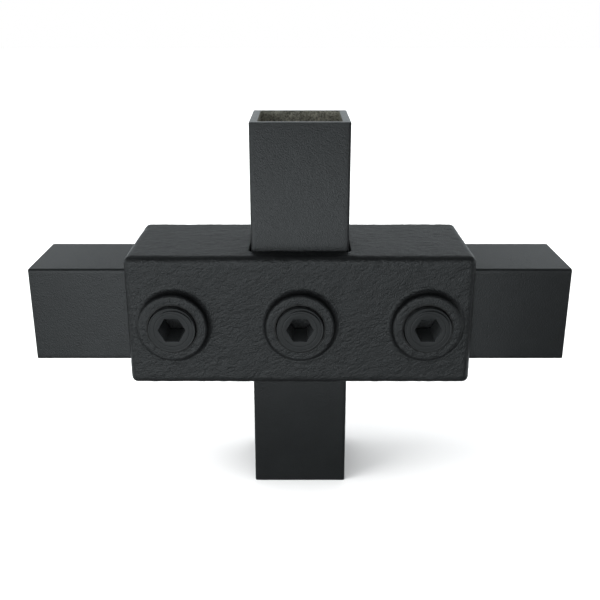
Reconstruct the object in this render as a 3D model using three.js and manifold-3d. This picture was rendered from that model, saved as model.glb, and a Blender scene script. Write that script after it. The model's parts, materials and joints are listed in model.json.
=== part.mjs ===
// Cross fitting for 25 mm square tube: an iron casting that clamps one through tube and two side tubes,
// each with its own hexagon-socket set screw. Millimetres, +Z up. The side tubes run along X, the through
// tube runs along Z, and the screws face -Y. The origin is the centre of the casting's flat back face,
// straight behind the crossing of the tubes' axes.

import * as THREE from "three";
import { RoundedBoxGeometry } from "three/addons/geometries/RoundedBoxGeometry.js";
import { mergeVertices } from "three/addons/utils/BufferGeometryUtils.js";
import Module from "manifold-3d";

// Tubes.
const TUBE_SIDE = 25;
const TUBE_WALL = 2;
const TUBE_CORNER_RADIUS = 0.6;
const TUBE_INNER_CORNER_RADIUS = 0.4;
const THROUGH_TUBE_LENGTH = 99.2;
const SIDE_TUBE_REACH = 70; // from the through tube's axis to a side tube's outer end

// Casting. Its openings are wider than the tubes by OPENING_CLEARANCE, and the tubes rest against the
// back and lower walls, REST_GAP away from them, because the screws push them back.
const CASTING_WIDTH = 88.6;
const CASTING_EDGE_RADIUS = 2;
const FRONT_WALL = 5.5;
const BACK_WALL = 3.9;
const SHELF_WALL = 4.45; // above and below the side sockets
const PARTITION_WALL = 4; // between the through opening and each side socket
const OPENING_CLEARANCE = 0.7;
const REST_GAP = 0.1;
const STOP_GAP = 0.3; // between a side tube's inner end and its partition wall

// Screw bosses and tapped holes.
const SCREW_SPACING = 32.25;
const SCREW_DROP = 0.5; // the screws' axes lie this far below the side tubes' axis
const BOSS_RADIUS = 8.85;
const BOSS_HEIGHT = 2.9;
const BOSS_FILLET = 1.2;
const BOSS_EDGE_RADIUS = 0.6;
const BOSS_ROOT = 1; // how far the boss's solid runs back into the front wall
const HOLE_RADIUS = 6.1;

// M12 set screws with a cup point and a hexagon that runs right through. The thread is a row of V grooves
// at the thread's pitch.
const SCREW_RADIUS = 5.95;
const SCREW_ROOT_RADIUS = 4.95;
const SCREW_PITCH = 1.75;
const SCREW_PROUD = 1; // how far a screw's face stands out of its boss
const SCREW_TIP_GAP = 0.3;
const CREST_FLAT = SCREW_PITCH / 8;
const ROOT_FLAT = SCREW_PITCH / 4;
const POINT_RADIUS = 4;
const CUP_DEPTH = 1.4;
const RIM_CHAMFER = 0.25;
const SOCKET_ACROSS_FLATS = 6.1;
const COUNTERSINK_RADIUS = 4.6;
const COUNTERSINK_DEPTH = 0.6;

// Mesh resolution.
const ROUND_SEGMENTS = 40;
const ARC_SEGMENTS = 4;
const CUTTER_OVERRUN = 1; // how far a cutter runs past the face that it opens
const WELD_DISTANCE = 1e-4;

// Worked out, with the crossing of the tubes' axes at zero.
const OPENING_SIDE = TUBE_SIDE + OPENING_CLEARANCE;
const TUBE_HALF = TUBE_SIDE / 2;
const OPENING_BACK = TUBE_HALF + REST_GAP;
const OPENING_FRONT = OPENING_BACK - OPENING_SIDE;
const SOCKET_BOTTOM = -TUBE_HALF - REST_GAP;
const SOCKET_TOP = SOCKET_BOTTOM + OPENING_SIDE;
const CASTING_FRONT = OPENING_FRONT - FRONT_WALL;
const CASTING_BACK = OPENING_BACK + BACK_WALL;
const CASTING_BOTTOM = SOCKET_BOTTOM - SHELF_WALL;
const CASTING_TOP = SOCKET_TOP + SHELF_WALL;
const SOCKET_STOP = OPENING_SIDE / 2 + PARTITION_WALL;
const BOSS_FACE = CASTING_FRONT - BOSS_HEIGHT;
const SCREW_FACE = BOSS_FACE - SCREW_PROUD;
const SCREW_TIP = -TUBE_HALF - SCREW_TIP_GAP;
const SCREW_LENGTH = SCREW_TIP - SCREW_FACE;

const castCoat = new THREE.MeshStandardMaterial({ color: 0x2c2e2f, roughness: 0.62, metalness: 0.1 });
const tubeCoat = new THREE.MeshStandardMaterial({ color: 0x303334, roughness: 0.5, metalness: 0.1 });
const screwCoat = new THREE.MeshStandardMaterial({ color: 0x2b2d2e, roughness: 0.45, metalness: 0.6 });

const wasm = await Module();
wasm.setup();

// A closed geometry as a solid, with its shared vertices merged and its collapsed triangles left out.
function toSolid(geometry) {
  const bare = geometry.clone();
  bare.deleteAttribute("normal");
  bare.deleteAttribute("uv");
  const merged = mergeVertices(bare, WELD_DISTANCE);
  const corners = merged.index.array;
  const kept = [];
  for (let i = 0; i < corners.length; i += 3) {
    const [a, b, c] = corners.subarray(i, i + 3);
    if (a !== b && b !== c && c !== a) {
      kept.push(a, b, c);
    }
  }
  const vertProperties = new Float32Array(merged.attributes.position.array);
  return new wasm.Manifold(new wasm.Mesh({ numProp: 3, vertProperties, triVerts: new Uint32Array(kept) }));
}

function toGeometry(solid) {
  const mesh = solid.getMesh();
  const geometry = new THREE.BufferGeometry();
  geometry.setAttribute("position", new THREE.BufferAttribute(mesh.vertProperties, 3));
  geometry.setIndex(new THREE.BufferAttribute(mesh.triVerts, 1));
  geometry.computeVertexNormals();
  return geometry;
}

function namedMesh(name, geometry, material) {
  const mesh = new THREE.Mesh(geometry, material);
  mesh.name = name;
  return mesh;
}

// A box as a solid, from its limits along each axis.
function boxSolid([x0, x1], [y0, y1], [z0, z1]) {
  const geometry = new THREE.BoxGeometry(x1 - x0, y1 - y0, z1 - z0);
  geometry.translate((x0 + x1) / 2, (y0 + y1) / 2, (z0 + z1) / 2);
  return toSolid(geometry);
}

// The outline of a square centred on zero, with rounded corners. It works for a Shape and for a hole.
function drawRoundedSquare(outline, half, radius) {
  const inset = half - radius;
  const quarter = Math.PI / 2;
  outline.absarc(inset, inset, radius, 0, quarter);
  outline.absarc(-inset, inset, radius, quarter, 2 * quarter);
  outline.absarc(-inset, -inset, radius, 2 * quarter, 3 * quarter);
  outline.absarc(inset, -inset, radius, 3 * quarter, 4 * quarter);
  outline.closePath();
  return outline;
}

// A square tube along +Z, from z = 0 to its length.
function squareTube(length) {
  const section = drawRoundedSquare(new THREE.Shape(), TUBE_HALF, TUBE_CORNER_RADIUS);
  section.holes.push(drawRoundedSquare(new THREE.Path(), TUBE_HALF - TUBE_WALL, TUBE_INNER_CORNER_RADIUS));
  return new THREE.ExtrudeGeometry(section, { depth: length, bevelEnabled: false, curveSegments: ARC_SEGMENTS });
}

function throughTube() {
  const tube = namedMesh("through_tube", squareTube(THROUGH_TUBE_LENGTH), tubeCoat);
  tube.position.z = -THROUGH_TUBE_LENGTH / 2;
  return tube;
}

// A side tube, turned so that it runs outwards along X. Side is -1 on the left and 1 on the right.
function sideTube(name, side) {
  const innerEnd = SOCKET_STOP + STOP_GAP;
  const tube = namedMesh(name, squareTube(SIDE_TUBE_REACH - innerEnd), tubeCoat);
  tube.rotation.y = (side * Math.PI) / 2;
  tube.position.x = side * innerEnd;
  return tube;
}

// A quarter circle of profile points from one angle to the other, without its first point.
function arcPoints(centreX, centreY, radius, fromAngle, toAngle) {
  const points = [];
  for (let i = 1; i <= ARC_SEGMENTS; i += 1) {
    const angle = fromAngle + ((toAngle - fromAngle) * i) / ARC_SEGMENTS;
    points.push(new THREE.Vector2(centreX + radius * Math.cos(angle), centreY + radius * Math.sin(angle)));
  }
  return points;
}

// A profile turned about its axis, whose height then runs along -Y from the given depth.
function turnedTowardsFront(profile, x, startDepth) {
  const geometry = new THREE.LatheGeometry(profile, ROUND_SEGMENTS);
  geometry.rotateX(Math.PI);
  geometry.translate(x, startDepth, -SCREW_DROP);
  return geometry;
}

// The raised disc around one tapped hole, with a fillet at its foot and a rounded edge at its face.
function bossSolid(x) {
  const foot = BOSS_ROOT;
  const top = BOSS_ROOT + BOSS_HEIGHT;
  const filletCentre = BOSS_RADIUS + BOSS_FILLET;
  const edgeCentre = BOSS_RADIUS - BOSS_EDGE_RADIUS;
  const profile = [
    new THREE.Vector2(0, 0),
    new THREE.Vector2(filletCentre, 0),
    new THREE.Vector2(filletCentre, foot),
    ...arcPoints(filletCentre, foot + BOSS_FILLET, BOSS_FILLET, -Math.PI / 2, -Math.PI),
    new THREE.Vector2(BOSS_RADIUS, top - BOSS_EDGE_RADIUS),
    ...arcPoints(edgeCentre, top - BOSS_EDGE_RADIUS, BOSS_EDGE_RADIUS, 0, Math.PI / 2),
    new THREE.Vector2(0, top),
  ];
  return toSolid(turnedTowardsFront(profile, x, CASTING_FRONT + BOSS_ROOT));
}

// The tapped hole's cutter, from in front of the boss to inside the tube's opening.
function holeCutter(x) {
  const start = OPENING_FRONT + CUTTER_OVERRUN;
  const length = start - BOSS_FACE + CUTTER_OVERRUN;
  const profile = [
    new THREE.Vector2(0, 0),
    new THREE.Vector2(HOLE_RADIUS, 0),
    new THREE.Vector2(HOLE_RADIUS, length),
    new THREE.Vector2(0, length),
  ];
  return toSolid(turnedTowardsFront(profile, x, start));
}

// The opening that the through tube passes, and the two blind sockets of the side tubes.
function tubeOpenings() {
  const depth = [OPENING_FRONT, OPENING_BACK];
  const height = [SOCKET_BOTTOM, SOCKET_TOP];
  const mouth = CASTING_WIDTH / 2 + CUTTER_OVERRUN;
  const through = [CASTING_BOTTOM - CUTTER_OVERRUN, CASTING_TOP + CUTTER_OVERRUN];
  return boxSolid([-OPENING_SIDE / 2, OPENING_SIDE / 2], depth, through)
    .add(boxSolid([-mouth, -SOCKET_STOP], depth, height))
    .add(boxSolid([SOCKET_STOP, mouth], depth, height));
}

function castingBlock() {
  const depth = CASTING_BACK - CASTING_FRONT;
  const height = CASTING_TOP - CASTING_BOTTOM;
  const geometry = new RoundedBoxGeometry(CASTING_WIDTH, depth, height, ARC_SEGMENTS, CASTING_EDGE_RADIUS);
  geometry.translate(0, (CASTING_FRONT + CASTING_BACK) / 2, (CASTING_BOTTOM + CASTING_TOP) / 2);
  return toSolid(geometry);
}

function casting(screwPositions) {
  let body = castingBlock();
  for (const x of screwPositions) {
    body = body.add(bossSolid(x));
  }
  body = body.subtract(tubeOpenings());
  for (const x of screwPositions) {
    body = body.subtract(holeCutter(x));
  }
  return namedMesh("casting", toGeometry(body), castCoat);
}

// The screw's outline from the middle of its cup point to the middle of its face.
function screwProfile() {
  const shoulder = SCREW_RADIUS - POINT_RADIUS;
  const flank = (SCREW_PITCH - CREST_FLAT - ROOT_FLAT) / 2;
  const profile = [
    new THREE.Vector2(0, CUP_DEPTH),
    new THREE.Vector2(POINT_RADIUS, 0),
    new THREE.Vector2(SCREW_RADIUS, shoulder),
  ];
  const lastCrest = SCREW_LENGTH - RIM_CHAMFER;
  for (let y = shoulder + CREST_FLAT; y + SCREW_PITCH - CREST_FLAT < lastCrest; y += SCREW_PITCH) {
    profile.push(new THREE.Vector2(SCREW_RADIUS, y));
    profile.push(new THREE.Vector2(SCREW_ROOT_RADIUS, y + flank));
    profile.push(new THREE.Vector2(SCREW_ROOT_RADIUS, y + flank + ROOT_FLAT));
    profile.push(new THREE.Vector2(SCREW_RADIUS, y + SCREW_PITCH - CREST_FLAT));
  }
  profile.push(new THREE.Vector2(SCREW_RADIUS, lastCrest));
  profile.push(new THREE.Vector2(SCREW_RADIUS - RIM_CHAMFER, SCREW_LENGTH));
  profile.push(new THREE.Vector2(COUNTERSINK_RADIUS, SCREW_LENGTH));
  profile.push(new THREE.Vector2(SOCKET_ACROSS_FLATS / 2, SCREW_LENGTH - COUNTERSINK_DEPTH));
  profile.push(new THREE.Vector2(0, SCREW_LENGTH - COUNTERSINK_DEPTH));
  return profile;
}

// The hexagon's cutter. Two of its flats face up and down, so two of its corners lie along X.
function hexagonCutter(x) {
  const cornerRadius = SOCKET_ACROSS_FLATS / Math.sqrt(3);
  const length = SCREW_LENGTH + 2 * CUTTER_OVERRUN;
  const geometry = new THREE.CylinderGeometry(cornerRadius, cornerRadius, length, 6);
  geometry.rotateY(Math.PI / 6);
  geometry.translate(x, (SCREW_FACE + SCREW_TIP) / 2, -SCREW_DROP);
  return toSolid(geometry);
}

function setScrew(name, x) {
  const blank = toSolid(turnedTowardsFront(screwProfile(), x, SCREW_TIP));
  return namedMesh(name, toGeometry(blank.subtract(hexagonCutter(x))), screwCoat);
}

const screwPositions = [-SCREW_SPACING, 0, SCREW_SPACING];

const crossFitting = new THREE.Group();
crossFitting.add(casting(screwPositions));
crossFitting.add(throughTube());
crossFitting.add(sideTube("left_tube", -1));
crossFitting.add(sideTube("right_tube", 1));
["left_set_screw", "centre_set_screw", "right_set_screw"].forEach((name, i) => {
  crossFitting.add(setScrew(name, screwPositions[i]));
});
crossFitting.position.y = -CASTING_BACK;

export default crossFitting;
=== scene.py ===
"""The look of a square tube cross fitting: a coated iron casting, three set screws and three tubes.

While a piece is being made its lengths are in millimetres, and finish_piece turns it into metres.
"""

import json
import math

import bpy
import numpy as np
from mathutils import Matrix, Vector, noise


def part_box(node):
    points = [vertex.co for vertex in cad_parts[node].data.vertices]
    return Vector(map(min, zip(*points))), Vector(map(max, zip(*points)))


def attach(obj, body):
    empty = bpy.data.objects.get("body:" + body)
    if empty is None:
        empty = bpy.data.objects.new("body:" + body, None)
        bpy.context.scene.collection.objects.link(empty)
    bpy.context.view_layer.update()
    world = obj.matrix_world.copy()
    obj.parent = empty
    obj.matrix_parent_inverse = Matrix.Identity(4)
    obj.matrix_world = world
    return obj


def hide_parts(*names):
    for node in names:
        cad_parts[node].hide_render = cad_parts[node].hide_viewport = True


MM = 0.001

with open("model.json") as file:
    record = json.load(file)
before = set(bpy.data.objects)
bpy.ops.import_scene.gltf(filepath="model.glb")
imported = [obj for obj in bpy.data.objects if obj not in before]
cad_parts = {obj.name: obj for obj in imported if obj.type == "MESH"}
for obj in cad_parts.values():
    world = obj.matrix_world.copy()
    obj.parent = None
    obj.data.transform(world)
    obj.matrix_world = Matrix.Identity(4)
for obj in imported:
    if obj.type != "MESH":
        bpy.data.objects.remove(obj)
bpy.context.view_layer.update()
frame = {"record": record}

# Casting.
EDGE_RADIUS = 1.8
SKIN_STEP = 0.6  # spacing of the casting's grid
BOSS_HEIGHT = 2.9
BOSS_RADIUS = 8.95
BOSS_FOOT = (1.4, 1.3)  # reach and height of the fillet at its foot
BOSS_EDGE_RADIUS = 0.8
BOSS_ROOT = 1.5  # how deep a boss reaches into the casting
BOSS_INNER_RADIUS = 5.0  # where a boss's face stops, inside its tapped hole
OPENING_CLEARANCE = 0.7
OPENING_REST_GAP = 0.1
OPENING_CORNER_RADIUS = 0.8
OPENING_LIP_RADIUS = 0.7
PARTITION_WALL = 4.0
CUTTER_REACH = 1.0  # how far a cutter runs past the faces that it opens

# Tapped holes and M12 set screws.
HOLE_RADIUS = 6.18
HOLE_THREAD_DEPTH = 0.45
HOLE_THREAD_STEPS = 14  # rings for each turn of its thread
HOLE_PLAIN_END = 1.2  # length at the front of its cutter with no thread
HOLE_THREAD_FADE = 0.5
HOLE_START = 1.0  # how far inside the tube's opening its cutter begins
HOLE_REACH = 0.2  # how far its cutter runs past the boss
THREAD_PITCH = 1.75
THREAD_DEPTH = 1.0
POINT_RADIUS = 4.0
CUP_DEPTH = 1.4
CUP_RIM = 0.15
SCREW_STEP = 0.11  # spacing of the rings along its thread
RIM_HEIGHT = 0.35
RIM_EDGE = 0.12
FACE_LINES = {5.45: 0.03, 4.45: 0.045}  # radius and depth of the turned lines on a screw's face
FACE_LINE_WIDTH = 0.07
RUN_OUT_ANGLES = (10, 125)
RUN_OUT_RADII = (5.65, 4.95)
RUN_OUT_DEPTH = 0.16
RUN_OUT_WIDTH = 0.11
COUNTERSINK_RADIUS = 4.05
COUNTERSINK_DEPTH = 0.08
HEXAGON_ACROSS_FLATS = 6.1
ROUND_STEPS = 96

# Tubes.
TUBE_WALL = 2.0
TUBE_CORNER_RADIUS = 0.6
TUBE_INNER_CORNER_RADIUS = 0.4
TUBE_EDGE_BREAK = 0.15
TUBE_SIDE_STEPS = 42
INSIDE_STEP = 0.55  # spacing of the rings on a tube's rough inner walls
INSIDE_ROUGHNESS = 0.07

# Studio. Pairs of place and brightness: by height, from straight down at 0 to straight up at 1, or
# across, from left at 0 to right at 1. They were tuned until the coat's reflections came near the
# brightness measured in the photo.
ROOM_LIGHT = 4.1
ROOM_TINT = (0.93, 1.0, 1.03)
FRONT_LIGHT = [
    (0.0, 0.08), (0.2, 0.08), (0.285, 0.11), (0.372, 0.74), (0.44, 1.0),
    (0.54, 1.0), (0.61, 0.4), (0.68, 0.08), (1.0, 0.05),
]
BACK_LIGHT = [
    (0.0, 0.07), (0.26, 0.1), (0.34, 0.42), (0.42, 0.5),
    (0.48, 0.27), (0.56, 0.185), (0.65, 0.103), (1.0, 0.08),
]
SIDE_LIGHT = [(0.0, 0.35), (0.12, 0.85), (0.25, 1.0), (0.4, 0.93), (0.56, 0.46), (0.8, 0.32), (0.97, 0.12)]
FLOOR_LIGHTS = {  # direction, spread in degrees and strength of each
    "floor_dome": ((0, 0, 1), 150, 3.6),
    "floor_key": ((-1.3, -0.4, 1.0), 50, 2.6),
}
FLOOR_REACH = 60000
BACKDROP_REACH = 2200

# Camera, from the crossing of the tubes' axes.
CAMERA_DISTANCE = 222.6
CAMERA_HEIGHT = 77.4
CAMERA_PITCH = math.radians(20.165)
CAMERA_LENS = 51.31
CAMERA_SHIFT = 0.02347


# ---------------------------------------------------------------- places from the frame


def box_mm(node):
    """A CAD node's lowest and highest corners, in millimetres."""
    return [np.array(corner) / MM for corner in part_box(node)]


def screw_centre(node):
    low, high = box_mm(node)
    return (low + high) / 2


SCREWS = ["left_set_screw", "centre_set_screw", "right_set_screw"]
HOLES = [screw_centre(node) for node in SCREWS]
THROUGH_LOW, THROUGH_HIGH = box_mm("through_tube")
SIDE_LOW, SIDE_HIGH = box_mm("left_tube")
TUBE_SIDE = THROUGH_HIGH[0] - THROUGH_LOW[0]
TUBE_FRONT = THROUGH_LOW[1]
FLOOR_HEIGHT = THROUGH_LOW[2]
CROSSING = (0, (THROUGH_LOW[1] + THROUGH_HIGH[1]) / 2, (SIDE_LOW[2] + SIDE_HIGH[2]) / 2)
OPENING_HALF = (TUBE_SIDE + OPENING_CLEARANCE) / 2
OPENING_Y = THROUGH_HIGH[1] + OPENING_REST_GAP - OPENING_HALF
SOCKET_Z = SIDE_LOW[2] - OPENING_REST_GAP + OPENING_HALF


# ---------------------------------------------------------------- mesh tools


def mesh_object(name, vertices, faces):
    """An object whose points are still in millimetres."""
    mesh = bpy.data.meshes.new(name)
    mesh.from_pydata([tuple(v) for v in vertices], [], faces)
    obj = bpy.data.objects.new(name, mesh)
    bpy.context.scene.collection.objects.link(obj)
    return obj


def loft(rings, capped=True):
    """Vertices and faces through rings of equal length: capped at both ends, or closed on themselves."""
    count = len(rings[0])
    spans = len(rings) - 1 if capped else len(rings)
    faces = []
    for k in range(spans):
        low = k * count
        high = (k + 1) % len(rings) * count
        for i in range(count):
            j = (i + 1) % count
            faces.append((low + i, low + j, high + j, high + i))
    if capped:
        faces.append(tuple(reversed(range(count))))
        faces.append(tuple(range(spans * count, len(rings) * count)))
    return np.concatenate(rings), faces


def point_array(collection, attribute):
    """One vector for each member of a mesh collection, as rows of an array."""
    values = np.zeros(len(collection) * 3)
    collection.foreach_get(attribute, values)
    return values.reshape(-1, 3)


def combine(obj, other, operation):
    """Joins or cuts obj with another closed object, which is used up."""
    modifier = obj.modifiers.new("combine", "BOOLEAN")
    modifier.operation = operation
    modifier.solver = "MANIFOLD"
    modifier.object = other
    graph = bpy.context.evaluated_depsgraph_get()
    mesh = bpy.data.meshes.new_from_object(obj.evaluated_get(graph))
    mesh.materials.clear()
    obj.modifiers.clear()
    obj.data = mesh
    bpy.data.objects.remove(other)


def to_metres(obj):
    obj.data.transform(Matrix.Scale(MM, 4))


def finish_piece(obj, materials, node, sharp_angle=35):
    """Turns a piece into metres, shades it, and puts it on its node's body in its node's place."""
    to_metres(obj)
    obj.data.polygons.foreach_set("use_smooth", [True] * len(obj.data.polygons))
    obj.data.set_sharp_from_angle(angle=math.radians(sharp_angle))
    for material in materials:
        obj.data.materials.append(material)
    body = next(name for name, nodes in frame["record"]["behaviour"]["bodies"].items() if node in nodes)
    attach(obj, body)
    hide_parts(node)


# ---------------------------------------------------------------- outlines and rings


def square_outline(half, radius, side_steps, corner_steps=4):
    """Points anticlockwise round a square with rounded corners, as many for any size."""
    inset = half - radius
    arcs = []
    for k, (sx, sy) in enumerate([(1, 1), (-1, 1), (-1, -1), (1, -1)]):
        angles = np.linspace(k, k + 1, corner_steps + 1) * math.pi / 2
        x, y = sx * inset + radius * np.cos(angles), sy * inset + radius * np.sin(angles)
        arcs.append(np.column_stack([x, y]))
    points = []
    for k, arc in enumerate(arcs):
        points.extend(arc)
        points.extend(np.linspace(arc[-1], arcs[(k + 1) % 4][0], side_steps + 1)[1:-1])
    return np.array(points)


def raised(outline, height):
    """A flat ring: an outline at one height."""
    return np.column_stack([outline, np.full(len(outline), height)])


def round_ring(radii, height):
    """A ring of ROUND_STEPS points. Radii is one number, or one for each point."""
    angles = np.arange(ROUND_STEPS) * 2 * math.pi / ROUND_STEPS
    outline = np.column_stack([radii * np.cos(angles), radii * np.sin(angles)])
    return raised(outline, height)


def facing_front(points, x, y, z):
    """Turns points whose height is along +Z so that it runs along -Y from (x, y, z)."""
    return np.column_stack([x + points[:, 0], y - points[:, 2], z + points[:, 1]])


def thread_height(turns):
    """How far up the thread a place is, 0 at the root and 1 at the crest. Turns counts whole pitches."""
    from_crest = np.abs(turns % 1 - 0.5) * 2
    return np.clip((0.75 - from_crest) / 0.625, 0, 1)


def thread_turns(height):
    """Where the points of a round ring lie on a right-hand thread, in turns."""
    return height / THREAD_PITCH - np.arange(ROUND_STEPS) / ROUND_STEPS


# ---------------------------------------------------------------- casting


def rounded_block(low, high, radius, step):
    """A closed box with rounded edges, as an even grid of squares."""
    counts = np.maximum(1, np.round((high - low) / step)).astype(int)
    points, quads, start = [], [], 0
    for axis in range(3):
        u, v = (axis + 1) % 3, (axis + 2) % 3
        for side in (low, high):
            grid = np.zeros((counts[u] + 1, counts[v] + 1, 3))
            grid[..., u] = np.linspace(low[u], high[u], counts[u] + 1)[:, None]
            grid[..., v] = np.linspace(low[v], high[v], counts[v] + 1)[None, :]
            grid[..., axis] = side[axis]
            index = start + np.arange(grid[..., 0].size).reshape(grid.shape[:2])
            corners = [index[:-1, :-1], index[1:, :-1], index[1:, 1:], index[:-1, 1:]]
            if side is low:
                corners.reverse()
            quads.append(np.stack(corners, axis=-1).reshape(-1, 4))
            points.append(grid.reshape(-1, 3))
            start += grid[..., 0].size
    points, merged = np.unique(np.round(np.concatenate(points), 6), axis=0, return_inverse=True)
    core = np.clip(points, low + radius, high - radius)
    offset = points - core
    points = core + offset * radius / np.linalg.norm(offset, axis=1)[:, None]
    return points, merged.reshape(-1)[np.concatenate(quads)].tolist()


def arc(centre_radius, centre_height, radius, from_degrees, to_degrees, steps):
    """Radius and height of points along an arc in a turned profile."""
    angles = np.radians(np.linspace(from_degrees, to_degrees, steps + 1))
    return [(centre_radius + radius * math.cos(a), centre_height + radius * math.sin(a)) for a in angles]


def boss(x, y, z, side):
    """A raised disc, soft at its edge, whose foot follows the casting's rounded edge at |x| = side."""
    reach, rise = BOSS_FOOT
    foot_radius = BOSS_RADIUS + reach
    edge_start = BOSS_HEIGHT - BOSS_EDGE_RADIUS
    turns = np.radians(np.linspace(90, 0, 11))
    profile = [(foot_radius, -BOSS_ROOT), (foot_radius, -0.1)]
    profile += [(foot_radius - reach * math.cos(t), rise * (1 - math.sin(t)) + 0.01) for t in turns]
    profile += [(BOSS_RADIUS, (rise + edge_start) / 2)]
    profile += arc(BOSS_RADIUS - BOSS_EDGE_RADIUS, edge_start, BOSS_EDGE_RADIUS, 0, 90, 5)
    face = np.linspace(BOSS_RADIUS - BOSS_EDGE_RADIUS, BOSS_INNER_RADIUS, 7)[1:]
    profile += [(radius, BOSS_HEIGHT) for radius in face]
    points, faces = loft([round_ring(radius, height) for radius, height in profile])
    over = np.maximum(np.abs(x + points[:, 0]) - (side - EDGE_RADIUS), 0)
    drop = EDGE_RADIUS - np.sqrt(EDGE_RADIUS**2 - np.minimum(over, EDGE_RADIUS) ** 2)
    points[:, 2] -= drop * np.clip(1 - points[:, 2] / BOSS_HEIGHT, 0, 1)
    return mesh_object("boss", facing_front(points, x, y, z), faces)


def tapped_hole(x, y, z, length):
    """The cutter of a tapped hole: a bore with a right-hand thread cut into its wall."""
    rings = []
    for height in np.arange(0, length, THREAD_PITCH / HOLE_THREAD_STEPS):
        fade = np.clip((length - HOLE_PLAIN_END - height) / HOLE_THREAD_FADE, 0, 1)
        thread = HOLE_THREAD_DEPTH * fade * thread_height(thread_turns(height))
        rings.append(round_ring(HOLE_RADIUS + thread, height))
    rings.append(round_ring(HOLE_RADIUS, length))
    points, faces = loft(rings)
    return mesh_object("tapped_hole", facing_front(points, x, y, z), faces)


def opening_cutter(length, lips):
    """A square prism from z = 0 to its length, which flares out at the ends named in lips: 0, 1 or both."""
    lip = OPENING_LIP_RADIUS
    mouth = lip * 1.3
    turns = np.linspace(0, math.pi / 2, 6)
    flare = [(lip * (1 - math.cos(t)), lip * math.sin(t)) for t in turns]
    start, end = [(0, 0)], [(0, length)]
    if 0 in lips:
        start = [(mouth, -CUTTER_REACH)] + [(grow, lip - rise) for grow, rise in reversed(flare)]
    if 1 in lips:
        end = [(grow, length - lip + rise) for grow, rise in flare] + [(mouth, length + CUTTER_REACH)]
    middle = [(0, height) for height in np.linspace(lip, length - lip, 14)[1:-1]]
    rings = []
    for grow, height in start + middle + end:
        outline = square_outline(OPENING_HALF + grow, OPENING_CORNER_RADIUS + grow, 12)
        rings.append(raised(outline, height))
    return loft(rings)


def skin_depth(point):
    """How far the cast skin lies under the nominal surface: slow swells under small leaning folds."""
    x, y, z = point
    swell = noise.noise(Vector((x, y, z)) * 0.11)
    lean = z - 0.3 * x
    fold = noise.noise(Vector((x * 0.4, y * 0.5, lean * 0.55 + 0.4 * swell)))
    wrinkle = noise.noise(Vector((x * 0.62 + 31, y * 0.8, lean * 0.95)))
    return 0.12 - 0.05 * swell - 0.05 * fold - 0.06 * wrinkle


def lay_cast_skin(obj):
    """Moves a closed mesh's points inwards by the depth of the cast skin."""
    points = point_array(obj.data.vertices, "co")
    normals = point_array(obj.data.vertex_normals, "vector")
    depths = np.array([max(0.0, skin_depth(point)) for point in points])
    obj.data.vertices.foreach_set("co", (points - normals * depths[:, None]).ravel())
    obj.data.update()


def casting(materials):
    block_low, block_high = box_mm("casting")
    boss_face = block_low[1]
    block_low[1] += BOSS_HEIGHT
    body = mesh_object("cast_body", *rounded_block(block_low, block_high, EDGE_RADIUS, SKIN_STEP))
    for x, _, z in HOLES:
        combine(body, boss(x, block_low[1], z, block_high[0]), "UNION")
    lay_cast_skin(body)

    points, faces = opening_cutter(block_high[2] - block_low[2], lips=(0, 1))
    combine(body, mesh_object("through", points + (0, OPENING_Y, block_low[2]), faces), "DIFFERENCE")
    stop = OPENING_HALF + PARTITION_WALL
    points, faces = opening_cutter(block_high[0] - stop, lips=(1,))
    right = points[:, [2, 0, 1]] + (stop, OPENING_Y, SOCKET_Z)
    combine(body, mesh_object("right", right, faces), "DIFFERENCE")
    left = right * (-1, 1, 1)
    combine(body, mesh_object("left", left, [face[::-1] for face in faces]), "DIFFERENCE")

    start = OPENING_Y - OPENING_HALF + HOLE_START
    for x, _, z in HOLES:
        combine(body, tapped_hole(x, start, z, start - boss_face + HOLE_REACH), "DIFFERENCE")
    mark_faces(body, in_a_hole)
    finish_piece(body, materials, "casting")


def in_a_hole(centre):
    """Whether a point of the casting's surface is on the wall of a tapped hole."""
    reach = HOLE_RADIUS + HOLE_THREAD_DEPTH + 0.05
    near = any(math.hypot(centre[0] - x, centre[2] - z) < reach for x, _, z in HOLES)
    return near and centre[1] < TUBE_FRONT


def mark_faces(obj, test):
    """Gives the second material to the faces whose centres pass a test."""
    for face in obj.data.polygons:
        face.material_index = int(test(face.center))


# ---------------------------------------------------------------- set screws


def run_out(radius):
    """Depth, round a screw's face, of the mark that the thread leaves as it runs out across it."""
    angles = np.arange(ROUND_STEPS) * 360 / ROUND_STEPS
    along = (angles - RUN_OUT_ANGLES[0]) / (RUN_OUT_ANGLES[1] - RUN_OUT_ANGLES[0])
    middle = RUN_OUT_RADII[0] + (RUN_OUT_RADII[1] - RUN_OUT_RADII[0]) * along
    strength = np.where((along > 0) & (along < 1), np.sin(np.pi * np.clip(along, 0, 1)) ** 0.5, 0)
    return RUN_OUT_DEPTH * strength * np.exp(-(((radius - middle) / RUN_OUT_WIDTH) ** 2))


def screw_face(radius, length):
    """Rings from the rim of a screw's face inwards, with its turned lines and the thread's run-out."""
    rings = []
    for at in np.linspace(radius - RIM_EDGE, COUNTERSINK_RADIUS, 30):
        lines = 0
        for line, depth in FACE_LINES.items():
            lines += depth * math.exp(-(((at - line) / FACE_LINE_WIDTH) ** 2))
        rings.append(round_ring(at, length - lines - run_out(at)))
    rings.append(round_ring(HEXAGON_ACROSS_FLATS / 2 - 0.1, length - COUNTERSINK_DEPTH))
    return rings


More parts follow.
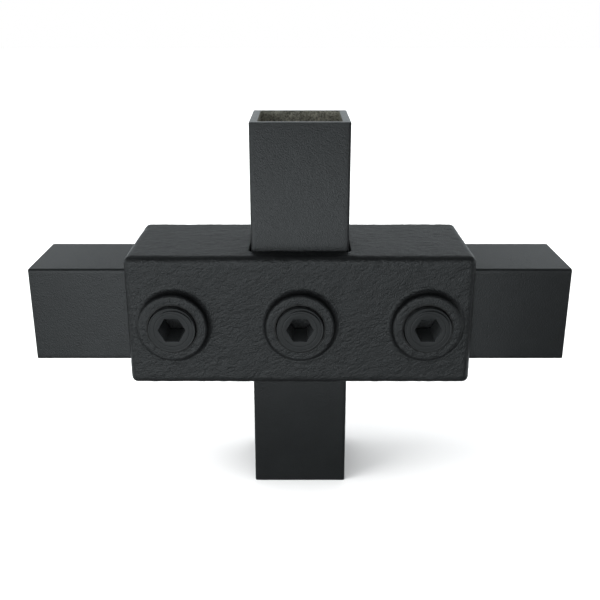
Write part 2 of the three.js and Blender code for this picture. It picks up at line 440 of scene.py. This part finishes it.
def screw_blank(radius, length):
    """Rings of a screw from its cup point to the middle of its face, with no hexagon yet."""
    cup = [(0.5, CUP_DEPTH * 0.9), (POINT_RADIUS - CUP_RIM, 0.0), (POINT_RADIUS, 0.0)]
    rings = [round_ring(at, height) for at, height in cup]
    root = radius - THREAD_DEPTH
    for height in np.linspace(0, length - RIM_EDGE, int(length / SCREW_STEP))[1:]:
        rim = np.clip((height - length + RIM_HEIGHT + 0.2) / 0.2, 0, 1)
        thread = root + THREAD_DEPTH * np.maximum(thread_height(thread_turns(height)), rim)
        rings.append(round_ring(np.minimum(thread, POINT_RADIUS + height), height))
    return rings + screw_face(radius, length)


def hexagon_cutter(length):
    """A hexagonal prism that runs past both ends of a screw, with flats at its top and bottom."""
    angles = np.arange(6) * math.pi / 3
    radius = HEXAGON_ACROSS_FLATS / math.sqrt(3)
    outline = np.column_stack([radius * np.cos(angles), radius * np.sin(angles)])
    return loft([raised(outline, -CUTTER_REACH), raised(outline, length + CUTTER_REACH)])


def set_screw(node, materials):
    low, high = box_mm(node)
    centre = (low + high) / 2
    length = high[1] - low[1]
    radius = (high[0] - low[0]) / 2
    place = (centre[0], high[1], centre[2])
    points, faces = loft(screw_blank(radius, length))
    screw = mesh_object(node + "_threaded", facing_front(points, *place), faces)
    points, faces = hexagon_cutter(length)
    combine(screw, mesh_object("hexagon", facing_front(points, *place), faces), "DIFFERENCE")
    reach = HEXAGON_ACROSS_FLATS / math.sqrt(3) + 0.05
    deep = low[1] + 0.5
    mark_faces(screw, lambda at: math.hypot(at[0] - centre[0], at[2] - centre[2]) < reach and at[1] > deep)
    finish_piece(screw, materials, node)


# ---------------------------------------------------------------- tubes


def tube_sections(length):
    """How far in from the outside, at what height and with which material each ring of a tube lies."""
    edge, wall = TUBE_EDGE_BREAK, TUBE_WALL
    soft = edge * (1 - math.sqrt(0.5))
    inside = np.linspace(length - edge, edge, int(length / INSIDE_STEP))
    outside, end, bore = 0, 1, 2
    sections = [(0, height, outside) for height in (edge, length / 2, length - edge)]
    sections += [(soft, length - soft, end), (edge, length, end), (wall - edge, length, end)]
    sections += [(wall - soft, length - soft, bore)]
    sections += [(wall, height, bore) for height in inside]
    sections += [(wall - soft, soft, end), (wall - edge, 0, end), (edge, 0, end), (soft, soft, outside)]
    return sections


def tube(node, axis, materials):
    """A square tube in place of a node, along the axis of that number."""
    low, high = box_mm(node)
    length = high[axis] - low[axis]
    sections = tube_sections(length)
    rings = []
    for inset, height, _ in sections:
        share = inset / TUBE_WALL
        radius = (TUBE_CORNER_RADIUS - inset) * (1 - share) + TUBE_INNER_CORNER_RADIUS * share
        outline = square_outline(TUBE_SIDE / 2 - inset, max(radius, 0.1), TUBE_SIDE_STEPS)
        rings.append(raised(outline, height))
    points, faces = loft(rings, capped=False)
    roughen_bore(points, np.repeat([inset for inset, _, _ in sections], len(rings[0])), node)
    order = [2, 0, 1] if axis == 0 else [0, 1, 2]
    centre = (low + high) / 2
    centre[axis] = low[axis]
    obj = mesh_object(node + "_coated", points[:, order] + centre, faces)
    indices = np.repeat([section[2] for section in sections], len(rings[0]))
    obj.data.polygons.foreach_set("material_index", indices.astype(np.int32))
    finish_piece(obj, materials, node, sharp_angle=50)


def roughen_bore(points, insets, seed_word):
    """Moves the points of a tube's inner walls in and out, as scale on bare steel."""
    shift = sum(map(ord, seed_word))
    for i in np.flatnonzero(insets >= TUBE_WALL):
        place = Vector(points[i])
        lift = noise.noise(place * 0.9 + Vector((shift, 0, 0))) + 0.6 * noise.noise(place * 2.1)
        points[i, :2] *= 1 - INSIDE_ROUGHNESS * (0.6 + lift) / (TUBE_SIDE / 2)


# ---------------------------------------------------------------- materials


def feed(tree, socket, source):
    """Links a socket to the one that feeds it, or sets it where the source is a value."""
    if isinstance(source, bpy.types.NodeSocket):
        tree.links.new(source, socket)
    else:
        socket.default_value = source


def add(tree, kind, inputs=None, **settings):
    """A shader node. An input, by name or number, is a value or the socket that feeds it."""
    made = tree.nodes.new(kind)
    for name, value in settings.items():
        setattr(made, name, value)
    for name, source in (inputs or {}).items():
        feed(tree, made.inputs[name], source)
    return made


def new_material(name):
    """A material, its tree and its principled shader."""
    material = bpy.data.materials.new(name)
    material.use_nodes = True
    tree = material.node_tree
    return material, tree, tree.nodes["Principled BSDF"]


def noise_at(tree, size_mm, detail=2.0, stretch=(1, 1, 1), lean=0.0, roughness=0.5):
    """A noise whose features are about size_mm across on the object, and lean about the Y axis."""
    coordinates = add(tree, "ShaderNodeTexCoord").outputs["Object"]
    inputs = {"Vector": coordinates, "Rotation": (0, lean, 0)}
    inputs["Scale"] = tuple(size_mm * MM * s for s in stretch)
    placed = add(tree, "ShaderNodeMapping", inputs, vector_type="TEXTURE").outputs["Vector"]
    inputs = {"Vector": placed, "Scale": 1.0, "Detail": detail, "Roughness": roughness}
    return add(tree, "ShaderNodeTexNoise", inputs).outputs["Fac"]


def ramp(tree, factor, stops):
    """A colour ramp from (position, colour) stops, where a colour is a grey or three parts."""
    made = add(tree, "ShaderNodeValToRGB", {"Fac": factor})
    elements = made.color_ramp.elements
    while len(elements) < len(stops):
        elements.new(0.5)
    for element, (position, colour) in zip(elements, stops):
        parts = (colour,) * 3 if isinstance(colour, (int, float)) else colour
        element.position = position
        element.color = (*parts, 1)
    return made.outputs["Color"]


def remap(tree, value, from_range, to_range):
    inputs = {"Value": value, "From Min": from_range[0], "From Max": from_range[1]}
    inputs.update({"To Min": to_range[0], "To Max": to_range[1]})
    return add(tree, "ShaderNodeMapRange", inputs).outputs["Result"]


def paint(tree, shader, factor, stops):
    """Takes a shader's colour from a ramp."""
    tree.links.new(ramp(tree, factor, stops), shader.inputs["Base Color"])


def roughen(tree, shader, factor, low, high):
    """Takes a shader's roughness from a 0 to 1 factor, spread over a range."""
    tree.links.new(remap(tree, factor, (0, 1), (low, high)), shader.inputs["Roughness"])


def multiplied(tree, first, second):
    """The product of a colour and another, which may be a constant."""
    made = add(tree, "ShaderNodeVectorMath", {0: first, 1: second}, operation="MULTIPLY")
    return made.outputs["Vector"]


def mixed(tree, factor, first, second):
    """The first colour at factor 0 and the second at 1."""
    made = add(tree, "ShaderNodeMix", {"Factor": factor}, data_type="RGBA")
    tree.links.new(first, made.inputs["A"])
    tree.links.new(second, made.inputs["B"])
    return made.outputs["Result"]


def weighted(tree, terms):
    """The sum of sockets, each times its weight."""
    total = None
    for socket, weight in terms:
        scaled = add(tree, "ShaderNodeMath", {0: socket, 1: weight}, operation="MULTIPLY")
        if total is None:
            total = scaled.outputs[0]
        else:
            both = add(tree, "ShaderNodeMath", {0: total, 1: scaled.outputs[0]}, operation="ADD")
            total = both.outputs[0]
    return total


def bump(tree, shader, height, depth_mm):
    made = add(tree, "ShaderNodeBump", {"Height": height, "Strength": 1.0, "Distance": depth_mm * MM})
    tree.links.new(made.outputs["Normal"], shader.inputs["Normal"])


def cast_coat():
    """Black powder coat over a crinkled cast skin."""
    material, tree, shader = new_material("cast_powder_coat")
    grain = noise_at(tree, 0.3)
    folds = noise_at(tree, 0.75, stretch=(1.7, 1, 0.9), lean=-0.45)
    cloud = noise_at(tree, 7.0)
    tint = weighted(tree, [(cloud, 0.6), (folds, 0.25), (grain, 0.15)])
    stops = [(0.35, (0.0050, 0.0055, 0.0058)), (0.65, (0.0085, 0.0092, 0.0096))]
    paint(tree, shader, tint, stops)
    roughen(tree, shader, folds, 0.36, 0.46)
    shader.inputs["IOR"].default_value = 1.5
    bump(tree, shader, weighted(tree, [(folds, 0.5), (grain, 0.5)]), 0.3)
    return material


def tube_coat():
    """Fine matt black powder coat on smooth drawn tube."""
    material, tree, shader = new_material("tube_powder_coat")
    grain = noise_at(tree, 0.28, detail=3.0)
    cloud = noise_at(tree, 9.0)
    tint = weighted(tree, [(cloud, 0.6), (grain, 0.4)])
    stops = [(0.35, (0.0060, 0.0066, 0.0070)), (0.65, (0.0095, 0.0103, 0.0108))]
    paint(tree, shader, tint, stops)
    roughen(tree, shader, grain, 0.34, 0.42)
    shader.inputs["IOR"].default_value = 1.5
    bump(tree, shader, grain, 0.1)
    return material


def tube_end_painted_highlight():
    """The coated saw cut at a tube's end, a little smoother than its sides, with a painted highlight:
    its colour is lighter than the coat on the sides and stands in for the bright reflection along the rim.
    """
    material, tree, shader = new_material("tube_cut_end_painted_highlight")
    strokes = noise_at(tree, 0.5, detail=3.0, stretch=(6, 0.6, 1))
    # painted highlight: colours lighter than the tube's coat, standing in for the bright reflection along
    # the rim
    stops = [(0.3, (0.02, 0.0215, 0.023)), (0.7, (0.035, 0.037, 0.039))]
    paint(tree, shader, strokes, stops)
    roughen(tree, shader, strokes, 0.24, 0.33)
    shader.inputs["IOR"].default_value = 2.0
    bump(tree, shader, strokes, 0.01)
    return material


def tube_bore():
    """Bare, speckled brown-grey scale on the inside of a tube."""
    material, tree, shader = new_material("tube_bare_bore")
    speck = noise_at(tree, 0.45, detail=4.0, roughness=0.65)
    patch = noise_at(tree, 3.0)
    tint = weighted(tree, [(speck, 0.8), (patch, 0.2)])
    stops = [(0.36, (0.11, 0.102, 0.083)), (0.5, (0.32, 0.30, 0.243)), (0.64, (0.62, 0.58, 0.47))]
    paint(tree, shader, tint, stops)
    roughen(tree, shader, speck, 0.65, 0.9)
    bump(tree, shader, speck, 0.12)
    return material


def screw_coat():
    """Black coated steel with a fine machined surface."""
    material, tree, shader = new_material("screw_black_coat")
    grain = noise_at(tree, 0.2)
    cloud = noise_at(tree, 2.5)
    tint = weighted(tree, [(cloud, 0.6), (grain, 0.4)])
    stops = [(0.35, (0.0065, 0.0070, 0.0073)), (0.65, (0.0100, 0.0106, 0.0110))]
    paint(tree, shader, tint, stops)
    roughen(tree, shader, cloud, 0.42, 0.54)
    shader.inputs["IOR"].default_value = 1.45
    bump(tree, shader, grain, 0.008)
    return material


def screw_socket():
    """Broached steel inside a screw's hexagon, barely coated."""
    material, tree, shader = new_material("screw_socket_steel")
    grain = noise_at(tree, 0.15, detail=3.0, stretch=(1, 4, 1))
    stops = [(0.3, (0.09, 0.092, 0.094)), (0.7, (0.14, 0.143, 0.146))]
    paint(tree, shader, grain, stops)
    roughen(tree, shader, grain, 0.45, 0.6)
    bump(tree, shader, grain, 0.01)
    return material


def thread_metal():
    """Tapped iron, darkened by oil and coat in its grooves."""
    material, tree, shader = new_material("tapped_iron")
    grain = noise_at(tree, 0.3, detail=3.0)
    stops = [(0.3, (0.006, 0.006, 0.006)), (0.7, (0.022, 0.021, 0.020))]
    paint(tree, shader, grain, stops)
    roughen(tree, shader, grain, 0.35, 0.55)
    shader.inputs["Metallic"].default_value = 0.6
    bump(tree, shader, grain, 0.01)
    return material


def floor_white():
    material, _, shader = new_material("studio_floor")
    shader.inputs["Base Color"].default_value = (0.9, 0.9, 0.9, 1)
    shader.inputs["Roughness"].default_value = 1.0
    shader.inputs["IOR"].default_value = 1.0
    return material


def backdrop_white():
    """A glow that is as bright as the lit floor."""
    material, _, shader = new_material("studio_backdrop")
    shader.inputs["Base Color"].default_value = (0, 0, 0, 1)
    shader.inputs["IOR"].default_value = 1.0
    shader.inputs["Emission Color"].default_value = (1, 1, 1, 1)
    shader.inputs["Emission Strength"].default_value = 1.0
    return material


# ---------------------------------------------------------------- studio


def hide_from_object(obj):
    """Keeps a stage piece out of reflections and diffuse light."""
    obj.visible_glossy = False
    obj.visible_diffuse = False


def studio_backdrop(height):
    """White walls and a ceiling beyond the floor, which fill the view of a low camera.

    They are hidden from reflections, diffuse light and shadows, and yet the object's fronts come out
    about 3 levels of 255 brighter with them than without.
    """
    side = BACKDROP_REACH
    corners = [(-side, -side), (side, -side), (side, side), (-side, side)]
    room = mesh_object("studio_backdrop", *loft([raised(corners, height - 10), raised(corners, side)]))
    to_metres(room)
    room.data.materials.append(backdrop_white())
    hide_from_object(room)
    room.visible_shadow = False


def studio_floor(height):
    side = FLOOR_REACH
    corners = [(-side, -side, height), (side, -side, height), (side, side, height), (-side, side, height)]
    floor = mesh_object("studio_floor", corners, [(0, 1, 2, 3)])
    to_metres(floor)
    floor.data.materials.append(floor_white())
    hide_from_object(floor)
    return floor


def studio_world():
    """Light by direction: a bright band in front, dimmer behind and to the right, dark above and below."""
    world = bpy.data.worlds.new("studio")
    world.use_nodes = True
    tree = world.node_tree
    direction = add(tree, "ShaderNodeTexCoord").outputs["Generated"]
    x, y, z = add(tree, "ShaderNodeSeparateXYZ", {"Vector": direction}).outputs
    height = remap(tree, z, (-1, 1), (0, 1))
    side = ramp(tree, remap(tree, x, (-0.6, 0.6), (0, 1)), SIDE_LIGHT)
    front = multiplied(tree, ramp(tree, height, FRONT_LIGHT), side)
    back = ramp(tree, height, BACK_LIGHT)
    room = mixed(tree, remap(tree, y, (-0.35, 0.35), (0, 1)), front, back)
    room = multiplied(tree, room, ROOM_TINT)
    background = tree.nodes["Background"]
    tree.links.new(room, background.inputs["Color"])
    background.inputs["Strength"].default_value = ROOM_LIGHT
    bpy.context.scene.world = world


def studio_light(floor):
    studio_world()
    lit = bpy.data.collections.new("lit_by_floor_lights")
    lit.objects.link(floor)
    for name, (direction, spread, strength) in FLOOR_LIGHTS.items():
        light = bpy.data.lights.new(name, "SUN")
        light.energy = strength
        light.angle = math.radians(spread)
        obj = bpy.data.objects.new(name, light)
        bpy.context.scene.collection.objects.link(obj)
        obj.rotation_euler = Vector(direction).to_track_quat("Z", "Y").to_euler()
        obj.light_linking.receiver_collection = lit


def camera():
    data = bpy.data.cameras.new("camera")
    data.lens = CAMERA_LENS
    data.sensor_width = 36
    data.shift_y = CAMERA_SHIFT
    data.clip_start = 0.01
    obj = bpy.data.objects.new("camera", data)
    bpy.context.scene.collection.objects.link(obj)
    obj.location = (Vector(CROSSING) + Vector((0, -CAMERA_DISTANCE, CAMERA_HEIGHT))) * MM
    obj.rotation_euler = (math.pi / 2 - CAMERA_PITCH, 0, 0)
    bpy.context.scene.camera = obj


# ---------------------------------------------------------------- the object

camera()
casting([cast_coat(), thread_metal()])
screw_materials = [screw_coat(), screw_socket()]
for node in SCREWS:
    set_screw(node, screw_materials)
tube_materials = [tube_coat(), tube_end_painted_highlight(), tube_bore()]
tube("through_tube", 2, tube_materials)
tube("left_tube", 0, tube_materials)
tube("right_tube", 0, tube_materials)
studio_backdrop(FLOOR_HEIGHT)
studio_light(studio_floor(FLOOR_HEIGHT))
bpy.context.scene.view_settings.view_transform = "Standard"
